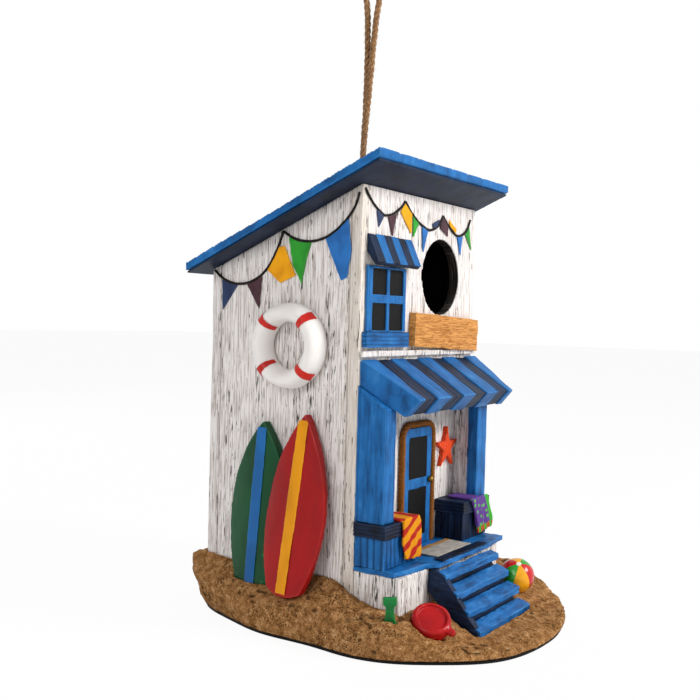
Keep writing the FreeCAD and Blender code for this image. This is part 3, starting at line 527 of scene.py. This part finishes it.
def whitewash(name, warm_side=None, worn=0.0):
    """Distressed white on upright boards: fine pale ridges, short black dashes in columns, stained corners."""
    f = Finish(name)
    ridges = f.upright(0.75, 16, 3.0, 0.6)
    dash = f.upright(0.6, 7.5, 2.0, 0.55, shift=7.3)
    column = f.upright(2.6, 90, 1.0, 0.5, shift=3.1)
    patch = f.noise((17, 17, 24), 2.0, 0.5, 0.4)
    speck = f.noise((0.55, 0.55, 0.8), 2.0, 0.6)
    cloud = f.noise((7, 7, 11), 3.0, 0.6)
    limit = 0.735 - worn - f.clamp(column, 0.5, 0.66) * 0.125 - f.clamp(patch, 0.45, 0.7) * 0.03
    dark = f.clamp(dash - limit, 0.0, 0.022)
    dots = f.clamp(speck, 0.70, 0.74) * f.clamp(patch, 0.5, 0.68)
    black = f.math("MAXIMUM", dark, dots)
    colour = f.mix(f.clamp(ridges, 0.34, 0.58), hue("BDB3AE"), hue("EFEBE9"))
    colour = f.mix(f.clamp(cloud, 0.5, 0.75) * 0.4, colour, hue("CFC6C2"))
    if warm_side == "front_edge":
        colour = f.mix(f.clamp(0 - f.y, 3 * MM, 13 * MM) * 0.35, colour, hue("D5C9B9"))
    if warm_side == "left_edge":
        colour = f.mix(f.clamp(0 - f.x, 44 * MM, 54 * MM) * 0.5, colour, hue("D8CBB9"))
    colour = f.mix(f.mark("groove") * 0.35, colour, hue("9A908A"))
    colour = f.mix(black * 0.92, colour, SOOT)
    # Near-black on the inner faces of the nest box: painted shade inside the closed box.
    inside = f.math("MINIMUM", f.clamp(49.7 * MM - abs(f.x), 0, 0.2 * MM), f.clamp(f.y, -10.6 * MM, -10.4 * MM))
    inside = f.math("MINIMUM", inside, f.clamp(66.7 * MM - f.y, 0, 0.2 * MM))
    from_hole = f.math("SQRT", (f.x - 18.8 * MM) * (f.x - 18.8 * MM) + (f.z - 167.8 * MM) * (f.z - 167.8 * MM))
    rim = f.clamp(19.7 * MM - from_hole, 0, 0.3 * MM) * f.clamp(f.y, -15.7 * MM, -15.2 * MM)
    rim = rim * f.clamp(0 - f.y, 0, 5 * MM)
    colour = f.mix(rim, colour, f.mix(f.clamp(ridges, 0.4, 0.7), hue("171411"), hue("4E4945")))
    colour = f.mix(inside, colour, hue("0E0A08"))
    height = ridges * 0.55 + (1 - black) * 0.45
    return f.done(colour, 0.62 + ridges * 0.12, height, 0.4)


def plank_relief(across, width, seed, depth=0.28):
    """Upright boards with soft joints that come and go."""
    axis = {"x": 0, "y": 1}[across]

    def relief(points, normals):
        u = points[:, axis] / MM
        index = np.floor(u / width)
        jitter = np.sin(index * 12.9898 + seed) * 0.18 * width
        nearest = np.full(len(u), 9.0)
        for k in (-1, 0, 1, 2):
            line = (index + k) * width + np.sin((index + k) * 12.9898 + seed) * 0.18 * width
            nearest = np.minimum(nearest, np.abs(u - line))
        wander = lattice(points, (60, 60, 30), seed + 3) * 0.5 + 0.6
        groove = np.exp(-(nearest / 0.45) ** 2) * np.clip(wander, 0.1, 1)
        upright = 1 - np.abs(normals[:, 2])
        brush = lattice(points, (1.6, 1.6, 16), seed) * 0.13 + lattice(points, (7, 7, 22), seed + 5) * 0.14
        return (-groove * depth + brush - 0.1) * upright, {"groove": groove * upright}

    return relief


def brushed(name, base, light, dark, grain=(0.7, 0.7, 14), rough=0.42, wear_and_highlight=0.5, gloss=0.25):
    """Brush paint: streaks along the grain, paler on raised edges as worn paint and painted highlight, dark in the
    joints.
    """
    f = Finish(name)
    streak = f.noise(grain, 3.0, 0.55, 0.3)
    cloud = f.noise((9, 9, 12), 3.0, 0.55)
    groove = f.mark("groove")
    colour = f.mix(f.clamp(streak * 0.5 + cloud * 0.5, 0.32, 0.58), dark, base)
    colour = f.mix(f.clamp(streak * 0.5 + cloud * 0.5, 0.55, 0.7) * 0.4, colour, light)
    # Paler on raised edges: partly worn paint, partly a painted highlight.
    colour = f.mix(f.edge() * wear_and_highlight, colour, light)
    colour = f.mix(f.math("MINIMUM", groove * 0.85, 0.85), colour, tuple(c * 0.25 for c in dark))
    return f.done(colour, rough + streak * 0.14, streak * 0.7 + cloud * 0.3, 0.22, coat=gloss * 0.3, coat_rough=0.3)


BLUE = hue("1E69AC")
BLUE_PALE = hue("4A92CF")
BLUE_DEEP = hue("0F4579")
NAVY = hue("122440")
NAVY_PALE = hue("37496A")
NAVY_DEEP = hue("080D18")

wash_front = whitewash("whitewash_front", "left_edge")
wash_side = whitewash("whitewash_side", "front_edge")
wash_plain = whitewash("whitewash_plain")
wash_worn = whitewash("whitewash_worn", None, 0.05)
blue_upright = brushed("blue_upright", BLUE, BLUE_PALE, BLUE_DEEP, (1.6, 1.6, 14))
blue_level = brushed("blue_level", BLUE, BLUE_PALE, BLUE_DEEP, (14, 6, 1.2))
blue_slope = brushed("blue_slope", BLUE, BLUE_PALE, BLUE_DEEP, (1.6, 16, 10))
blue_roof = brushed("blue_roof", BLUE, BLUE_PALE, BLUE_DEEP, (5, 16, 8), wear_and_highlight=0.25)
# Navy on upright faces, used only as painted shade on the right half wall.
shade_navy_upright = brushed("shade_navy_upright", NAVY, NAVY_PALE, NAVY_DEEP, (1.6, 1.6, 12), wear_and_highlight=0.4)
navy_level = brushed("navy_level", NAVY, NAVY_PALE, NAVY_DEEP, (14, 6, 1.2), wear_and_highlight=0.4)
navy_slope = brushed("navy_slope", NAVY, NAVY_PALE, NAVY_DEEP, (1.6, 16, 10), wear_and_highlight=0.35)
navy_lining = brushed("navy_lining", hue("212C42"), hue("34415A"), hue("141B2A"), (9, 9, 9), wear_and_highlight=0.2, gloss=0.15)


# ---- walls -------------------------------------------------------------------
carve("front_wall", 0.8, 1, plank_relief("x", 4.6, 11), wash_front)
carve("back_wall", 0.9, 1, plank_relief("x", 4.6, 12), wash_plain)
carve("left_wall", 0.8, 1, plank_relief("y", 4.6, 13), wash_side)
carve("right_wall", 0.9, 1, plank_relief("y", 4.6, 14), wash_plain)
carve("porch_plinth", 0.6, 1, plank_relief("x", 3.8, 15, 0.3), wash_worn)
carve("porch_side_wall", 0.5, 1, plank_relief("y", 3.8, 16, 0.2), wash_worn)


def ledge_relief(points, normals):
    dent = lattice(points, (6, 3, 2), 21) * 0.25 + lattice(points, (2, 2, 2), 22) * 0.12
    return dent - 0.1, {"groove": np.clip(-dent * 2, 0, 1)}


carve("ledge_board", 0.45, 1, ledge_relief, wash_plain)


def roof_relief(points, normals):
    """Boards that run down the slope, with eased, slightly wavy edges."""
    u = points[:, 0] / MM
    near = np.abs((u + 3.0) % 16.0 - 8.0)
    top = step_up(normals[:, 2], 0.4, 0.8)
    groove = np.exp(-((8.0 - near) / 0.6) ** 2) * top
    wave = lattice(points, (20, 20, 20), 31) * 0.25 + lattice(points, (5, 7, 3), 32) * 0.14
    return wave - 0.15 - groove * 0.5, {"groove": groove}


carve("roof_board", 0.8, 1, roof_relief, blue_roof)


def plain_relief(seed, size=(7, 7, 7), amount=0.2):
    def relief(points, normals):
        dent = lattice(points, size, seed) * amount + lattice(points, tuple(s * 0.35 for s in size), seed + 1) * amount * 0.4
        return dent - amount * 0.5, {"groove": np.clip(-dent / amount * 0.4 - 0.2, 0, 1)}
    return relief


carve("roof_lining", 0.5, 1, plain_relief(33, (12, 12, 12), 0.12), navy_lining)


# ---- sand --------------------------------------------------------------------
def sand_finish():
    f = Finish("sand")
    grain = f.noise((0.7, 0.7, 0.7), 3.0, 0.7)
    lumps = f.noise((3.2, 3.2, 2.8), 3.0, 0.6, 0.5)
    patch = f.noise((15, 15, 10), 2.0, 0.6, 0.4)
    pits = f.spots((1.15, 1.15, 1.0))
    deep = f.mark("groove")
    colour = f.ramp(grain * 0.5 + lumps * 0.5, [(0.33, hue("55381C")), (0.45, hue("835A33")), (0.55, hue("A97C4E")),
                                                (0.68, hue("D6B082"))])
    holes = f.clamp(0.36 - pits, 0.0, 0.1) * f.clamp(patch, 0.46, 0.6)
    colour = f.mix(f.math("MAXIMUM", holes * 0.9, f.clamp(deep, 0.2, 0.8) * 0.75), colour, hue("22150A"))
    return f.done(colour, 0.9, grain * 0.5 + lumps * 0.25 + f.clamp(pits, 0.0, 0.5) * 0.25, 0.7, shine=0.05)


def sand_relief(points, normals):
    lumps = lattice(points, (13, 13, 9), 41) * 0.7 + lattice(points, (5.5, 5.5, 4.5), 42) * 0.5
    grit = lattice(points, (2.0, 2.0, 2.0), 43) * 0.42
    keep = 0.3 + 0.7 * step_up(points[:, 2], 2.0 * MM, 5.0 * MM)
    zone = step_up(lattice(points, (16, 16, 9), 45), -0.25, 0.3)
    pit = np.clip(-lattice(points, (2.3, 2.3, 2.0), 44) - 0.25, 0, 1) * zone
    return (lumps + grit) * keep - 0.35 - pit * 0.9, {"groove": np.clip(pit * 2.0, 0, 1) * keep}


carve("sand_base", 0.75, 1, sand_relief, sand_finish())
pad = Finish("black_pad")
coat_node("base_pad", pad.done(pad.mix(pad.noise((3, 3, 3), 2.0), hue("0A0A0A"), hue("1C1B1A")), 0.75))


# ---- porch -------------------------------------------------------------------
def grooved(axis, pitch, seed, depth=0.4, wide=0.5):
    """Even cut lines across one axis, softened by hand wear."""
    def relief(points, normals):
        u = points[:, axis] / MM + lattice(points, (9, 9, 9), seed) * 0.35
        near = np.abs(u % pitch - pitch / 2)
        facing = 1 - np.abs(normals[:, axis]) ** 2
        line = np.exp(-(near / wide) ** 2) * facing
        wave = lattice(points, (6, 6, 6), seed + 1) * 0.15
        return wave - 0.12 - line * depth, {"groove": line * min(1, depth / 0.28)}
    return relief


def both(first, second):
    def relief(points, normals):
        a, marks = first(points, normals)
        b, more = second(points, normals)
        return np.minimum(a, b), {"groove": np.maximum(marks["groove"], more["groove"])}
    return relief


upright_cuts = both(grooved(0, 3.6, 51, 0.28, 0.4), grooved(1, 3.6, 52, 0.28, 0.4))
faint_cuts = both(grooved(0, 7.3, 49, 0.1, 0.35), grooved(1, 4.9, 50, 0.1, 0.35))
carve("left_half_wall", 0.5, 2, upright_cuts, blue_upright)
carve("left_post", 0.5, 2, faint_cuts, blue_upright)
# The right half wall is the same blue as the left one; it is painted navy here as painted shade, since it stands in
# shadow.
carve("right_half_wall", 0.5, 2, upright_cuts, shade_navy_upright)
carve("right_post", 0.5, 2, faint_cuts, blue_upright)
carve("cap_rails", 0.45, 2, grooved(2, 1.7, 53, 0.35, 0.3), navy_level)
carve("porch_deck", 0.5, 2, plain_relief(54, (9, 5, 4), 0.35), blue_level)
carve("step_treads", 0.4, 2, plain_relief(56, (9, 3.5, 2.5), 0.42), blue_level)
carve("step_risers", 0.45, 1, plain_relief(57, (9, 4, 3), 0.2), navy_level)
carve("step_stringers", 0.5, 3, plain_relief(58, (6, 4, 4), 0.35), navy_level)
carve("deck_nosing", 0.3, 1, grooved(0, 1.5, 59, 0.25, 0.3), navy_level)


def fold_relief(seed):
    """Awning boards: each a little wavy, lines along the fall of the cloth."""
    def relief(points, normals):
        u = points[:, 0] / MM + lattice(points, (30, 14, 14), seed) * 0.5
        line = np.exp(-((np.abs(u % 4.15 - 2.07)) / 0.35) ** 2) * (1 - np.abs(normals[:, 0]))
        line = line * step_up(lattice(points, (5, 12, 12), seed + 2), -0.3, 0.4)
        wave = lattice(points, (11, 8, 8), seed + 1) * 0.26
        return wave - 0.1 - line * 0.2, {"groove": line * 0.4}
    return relief


carve(["awning_core", "awning_blue_boards"], 0.45, 1, fold_relief(62), blue_slope, name="awning_boarding")
carve("awning_navy_boards", 0.38, 1, fold_relief(64), navy_slope)
carve("window_hood", 0.4, 1, plain_relief(66, (6, 6, 6), 0.15), navy_slope)
carve("hood_navy_boards", 0.28, 1, fold_relief(67), navy_slope)
carve("hood_blue_boards", 0.28, 1, fold_relief(69), blue_slope)
carve("window_frame", 0.35, 1, plain_relief(71, (5, 5, 7), 0.16), blue_upright)
carve("window_sill", 0.4, 1, grooved(2, 1.9, 72, 0.22, 0.3), blue_level)
carve("door_slab", 0.4, 1, plain_relief(73, (5, 5, 9), 0.16), blue_upright)


def pane_finish():
    f = Finish("dark_pane")
    streak = f.noise((0.8, 0.8, 7), 3.0, 0.6, 0.3)
    colour = f.mix(f.clamp(streak, 0.62, 0.8) * 0.4, hue("020203"), hue("2C2926"))
    return f.done(colour, 0.5 + streak * 0.15, streak, 0.1, shine=0.15)


dark_pane = pane_finish()
coat_node("window_panes", dark_pane)
coat_node("door_panes", dark_pane)
brass = Finish("dull_brass")
wear_and_highlight = brass.noise((0.7, 0.7, 0.7), 3.0)
coat_node("door_knob", brass.done(brass.mix(wear_and_highlight, hue("3A3020"), hue("B08A3C")), 0.3 + wear_and_highlight * 0.3, wear_and_highlight, 0.05, metal=0.8))


# ---- rope round the door -----------------------------------------------------
def rope_finish():
    f = Finish("brown_rope")
    fibre = f.noise((0.4, 0.4, 0.9), 3.0, 0.6)
    colour = f.mix(f.clamp(fibre, 0.35, 0.62), hue("1F0F05"), hue("6A3C16"))
    # Paler orange on the strands' raised crests: a painted highlight.
    colour = f.mix(f.edge(0.5, 0.55) * 0.45, colour, hue("A96A28"))
    return f.done(colour, 0.6, fibre, 0.2)


def door_rope():
    low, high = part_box("door_rope_trim")
    radius = 1.6 * MM
    y = high.y - radius + 0.4 * MM
    x0, x1 = low.x + radius, high.x - radius
    top = high.z - radius
    bend = 6.0 * MM
    path = [(x0, y, low.z)]
    for k in range(9):
        a = math.pi - math.pi / 2 * k / 8
        path.append((x0 + bend + bend * math.cos(a), y, top - bend + bend * math.sin(a)))
    for k in range(9):
        a = math.pi / 2 - math.pi / 2 * k / 8
        path.append((x1 - bend + bend * math.cos(a), y, top - bend + bend * math.sin(a)))
    path.append((x1, y, low.z))
    verts, faces = laid_rope(path, 3, 0.82 * MM, 0.86 * MM, 6.0 * MM, 0.45 * MM, 9)
    rope = new_piece("door_rope_laid", verts, faces, rope_finish())
    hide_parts("door_rope_trim")


door_rope()


# ---- small trims -------------------------------------------------------------
def sign_finish():
    f = Finish("sign_wood")
    grain = f.noise((9, 3, 0.8), 4.0, 0.65, 1.2)
    rings = f.noise((26, 9, 3.2), 2.0, 0.5, 2.5)
    lines = f.math("PINGPONG", rings * 14, 1.0)
    colour = f.mix(f.clamp(grain, 0.35, 0.6), hue("A3642A"), hue("D99C58"))
    colour = f.mix(f.clamp(lines, 0.8, 1.0) * 0.5, colour, hue("8A4F1C"))
    colour = f.mix(f.edge() * 0.5, colour, hue("E6BC82"))
    return f.done(colour, 0.6, grain * 0.7 + lines * 0.3, 0.25)


carve("sign_board", 0.4, 1, plain_relief(81, (9, 4, 3), 0.28), sign_finish())


def star_finish():
    f = Finish("starfish_red")
    pits = f.spots((1.2, 1.2, 1.2))
    grain = f.noise((1.0, 1.0, 1.0), 3.0)
    colour = f.mix(grain, hue("C02A10"), hue("F45A2C"))
    colour = f.mix(f.clamp(0.25 - pits, 0, 0.1) * 0.6, colour, hue("F9A27C"))
    return f.done(colour, 0.5, f.clamp(pits, 0.0, 0.45), 0.35)


def star_relief(points, normals):
    spot = np.array([26.4, 0, 80.4]) * MM
    away = np.hypot(points[:, 0] - spot[0], points[:, 2] - spot[2]) / MM
    front = step_up(-normals[:, 1], 0.2, 0.7)
    return -front * step_up(away, 2.0, 11.5) * 1.2 + lattice(points, (1.8, 1.8, 1.8), 83) * 0.25, {"groove": away * 0}


carve("starfish", 0.32, 3, star_relief, star_finish())


def mat_finish():
    f = Finish("mat_weave")
    weave = f.math("SINE", f.x * (2 * math.pi / (0.9 * MM))) * f.math("SINE", f.y * (2 * math.pi / (0.9 * MM)))
    tint = f.noise((5, 3, 3), 2.0)
    colour = f.mix(tint, hue("8E8983"), hue("D8D2C6"))
    tan = f.clamp(f.y, -27.5 * MM, -26.8 * MM)
    colour = f.mix(tan, colour, hue("C08B4E"))
    colour = f.mix(f.clamp(weave, -0.2, 0.9) * 0.35, colour, hue("5A544C"))
    return f.done(colour, 0.85, weave * 0.5 + 0.5, 0.25)


carve("door_mat", 0.35, 1, plain_relief(85, (5, 4, 4), 0.2), mat_finish())


def gloss_paint(name, base, light, dark, rough=0.3, coat=0.5, cell=(14, 14, 26)):
    f = Finish(name)
    cloud = f.noise(cell, 2.0, 0.5, 0.2)
    fine = f.noise((0.8, 0.8, 2.0), 2.0)
    colour = f.mix(f.clamp(cloud, 0.3, 0.62) * 0.55 + 0.45, dark, base)
    # Paler on raised edges: a painted highlight.
    colour = f.mix(f.edge(0.51, 0.56) * 0.3, colour, light)
    colour = f.mix(f.clamp(fine, 0.7, 0.8) * 0.25, colour, dark)
    return f.done(colour, rough + cloud * 0.12, cloud * 0.6 + fine * 0.4, 0.12, coat=coat * 0.35, coat_rough=0.2)


GREEN = hue("0D4A28")
GREEN_PALE = hue("2C8A45")
GREEN_DEEP = hue("06301A")
RED = hue("A20E10")
RED_PALE = hue("DC4A3C")
RED_DEEP = hue("7E0A0E")
YELLOW = hue("E89A0C")
YELLOW_PALE = hue("F8BC3C")
YELLOW_DEEP = hue("BE7406")

soft_lumps = plain_relief(91, (10, 10, 14), 0.25)
carve("green_surfboard", 0.6, 2, soft_lumps, gloss_paint("board_green", GREEN, GREEN_PALE, GREEN_DEEP))
carve("red_surfboard", 0.6, 2, soft_lumps, gloss_paint("board_red", RED, RED_PALE, RED_DEEP))
carve("green_board_stripe", 0.3, 1, soft_lumps, gloss_paint("stripe_blue", BLUE, BLUE_PALE, BLUE_DEEP))
carve("red_board_stripe", 0.3, 1, soft_lumps, gloss_paint("stripe_yellow", YELLOW, YELLOW_PALE, YELLOW_DEEP))
carve("toy_spade", 0.4, 2, plain_relief(93, (3, 3, 3), 0.3), gloss_paint("spade_green", hue("17803A"), hue("39A95B"), GREEN_DEEP))
carve("toy_dish", 0.4, 2, plain_relief(94, (6, 6, 6), 0.2), gloss_paint("dish_red", hue("AC0F14"), RED_PALE, RED_DEEP))


def ring_finish():
    f = Finish("ring_white")
    cloud = f.noise((12, 12, 12), 2.0, 0.5)
    speck = f.noise((0.7, 0.7, 0.7), 2.0, 0.6)
    colour = f.mix(cloud, hue("E3DEDA"), hue("F8F6F4"))
    inner = f.clamp(f.x, -57.5 * MM, -55.0 * MM)
    colour = f.mix(inner * 0.6, colour, hue("B49F80"))
    colour = f.mix(f.clamp(speck, 0.72, 0.78) * 0.6, colour, hue("4B443C"))
    return f.done(colour, 0.42 + cloud * 0.1, cloud * 0.7 + speck * 0.3, 0.15, coat=0.25, coat_rough=0.3)


carve("life_ring", 0.6, 1, plain_relief(95, (9, 9, 9), 0.3), ring_finish())
carve("life_ring_bands", 0.3, 1, plain_relief(96, (3, 3, 3), 0.15), gloss_paint("ring_red", hue("CC2A20"), RED_PALE, hue("A01A14")))

cord_black = Finish("bunting_black")
tarry = cord_black.noise((1.2, 1.2, 1.2), 3.0)
carve("bunting_cords", 0.3, 1, plain_relief(97, (2, 2, 2), 0.12),
      cord_black.done(cord_black.mix(tarry, hue("070707"), hue("26211E")), 0.5, tarry, 0.1))
PENNANTS = {"navy": (hue("2D3C5F"), hue("4C5F88"), hue("1A2440")), "plum": (hue("4B2F38"), hue("70505A"), hue("2B171E")),
            "yellow": (hue("F2A711"), hue("FFCB4C"), hue("C87F08")), "green": (hue("2F9A2F"), hue("58BC50"), hue("1A6B1F")),
            "blue": (hue("2D72BC"), hue("5A9BDC"), hue("1A4E8C"))}
for colour, (base, light, dark) in PENNANTS.items():
    carve("pennants_" + colour, 0.27, 2, plain_relief(98, (3, 3, 3), 0.14),
          gloss_paint("pennant_" + colour, base, light, dark, 0.4, 0.3, (8, 8, 10)))


# ---- towels ------------------------------------------------------------------
def wavy_edge(seed):
    def relief(points, normals):
        fold = np.sin(points[:, 0] / MM * 1.1 + np.sin(points[:, 2] / MM * 0.25) * 1.2) * 0.35
        hang = step_up(-points[:, 2], -53 * MM, -44 * MM)
        return fold * hang * np.abs(normals[:, 1]) + lattice(points, (4, 4, 4), seed) * 0.15, {"groove": fold * 0}
    return relief


def striped_finish():
    f = Finish("striped_towel")
    sway = f.noise((6, 6, 6), 1.0) * (1.6 * MM)
    along = (f.x * 0.55 - f.z * 0.84 + sway) / (6.4 * MM)
    red = f.clamp(abs(along % 1.0 - 0.5), 0.27, 0.30)
    pile = f.noise((0.5, 0.5, 0.5), 2.0)
    colour = f.mix(red, hue("E6980F"), hue("B4201A"))
    colour = f.mix(pile * 0.3, colour, hue("6B2C0A"))
    return f.done(colour, 0.6, pile, 0.15)


def dotted_finish():
    f = Finish("dotted_towel")
    pile = f.noise((0.5, 0.5, 0.5), 2.0)
    cells = f.add("ShaderNodeTexVoronoi", {"feature": "F1"}, {"Vector": f.at((3.4, 60, 3.4)), "Scale": 1.0,
                                                              "Randomness": 0.45})
    dots = f.clamp(0.30 - cells, 0.0, 0.06)
    colour = f.mix(pile, hue("4A2C72"), hue("6B4A9A"))
    colour = f.mix(dots, colour, hue("5DB33C"))
    slant = f.x + (f.z - 47 * MM) * 0.55
    colour = f.mix(f.clamp(slant, 43.2 * MM, 43.8 * MM), colour, hue("3FA336"))
    checks = f.math("PINGPONG", f.x / (1.5 * MM), 1.0) > 0.5
    hem = f.mix(checks, hue("B5261E"), hue("3FA336"))
    colour = f.mix(f.clamp(0 - f.z + f.x * 0.08, -38.2 * MM, -37.6 * MM), colour, hem)
    return f.done(colour, 0.65, pile, 0.15)


carve("striped_towel", 0.35, 2, wavy_edge(101), striped_finish())
carve("dotted_towel", 0.35, 2, wavy_edge(102), dotted_finish())


# ---- ball --------------------------------------------------------------------
def ball_finish():
    f = Finish("ball_panels")
    low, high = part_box("beach_ball")
    centre = (low + high) / 2
    pole = Vector((-0.45, -0.35, 0.82)).normalized()
    one = pole.orthogonal().normalized()
    two = pole.cross(one)
    dx, dy, dz = f.x - centre.x, f.y - centre.y, f.z - centre.z
    def along(axis):
        return dx * axis.x + dy * axis.y + dz * axis.z
    turn = f.math("ARCTAN2", along(one), along(two)) / (2 * math.pi) + 0.5
    colour = f.ramp(turn, [(0.0, hue("C41A1E")), (1 / 6, hue("F2A818")), (2 / 6, hue("2F9A2F")), (3 / 6, hue("C41A1E")),
                           (4 / 6, hue("F2A818")), (5 / 6, hue("2F9A2F"))], "CONSTANT")
    radius = (high.x - low.x) / 2
    cap = f.clamp(abs(along(pole)) / radius, 0.97, 0.98)
    colour = f.mix(cap, colour, hue("ECE8E0"))
    cloud = f.noise((3, 3, 3), 2.0)
    colour = f.mix(f.clamp(cloud, 0.4, 0.8) * 0.2, colour, hue("3A1A08"))
    return f.done(colour, 0.3, cloud, 0.12, coat=0.5)


carve("beach_ball", 0.45, 1, plain_relief(103, (6, 6, 6), 0.2), ball_finish())


# ---- nest floor, washer and clean-out plug -----------------------------------
bare = Finish("nest_wood")
ply = bare.noise((1.2, 24, 1.2), 4.0, 0.6, 0.8)
coat_node("nest_floor", bare.done(bare.mix(ply, hue("8A6238"), hue("CFA571")), 0.7, ply, 0.2))
steel = Finish("washer_steel")
turned = steel.noise((0.4, 3.0, 0.4), 3.0)
coat_node("twine_washer", steel.done(steel.mix(turned, hue("7E8082"), hue("B9BCBE")), 0.3 + turned * 0.2, turned, 0.03, metal=1.0))
carve("cleanout_plug", 0.6, 1, plain_relief(105, (8, 8, 8), 0.15), whitewash("plug_white"), body="plug")
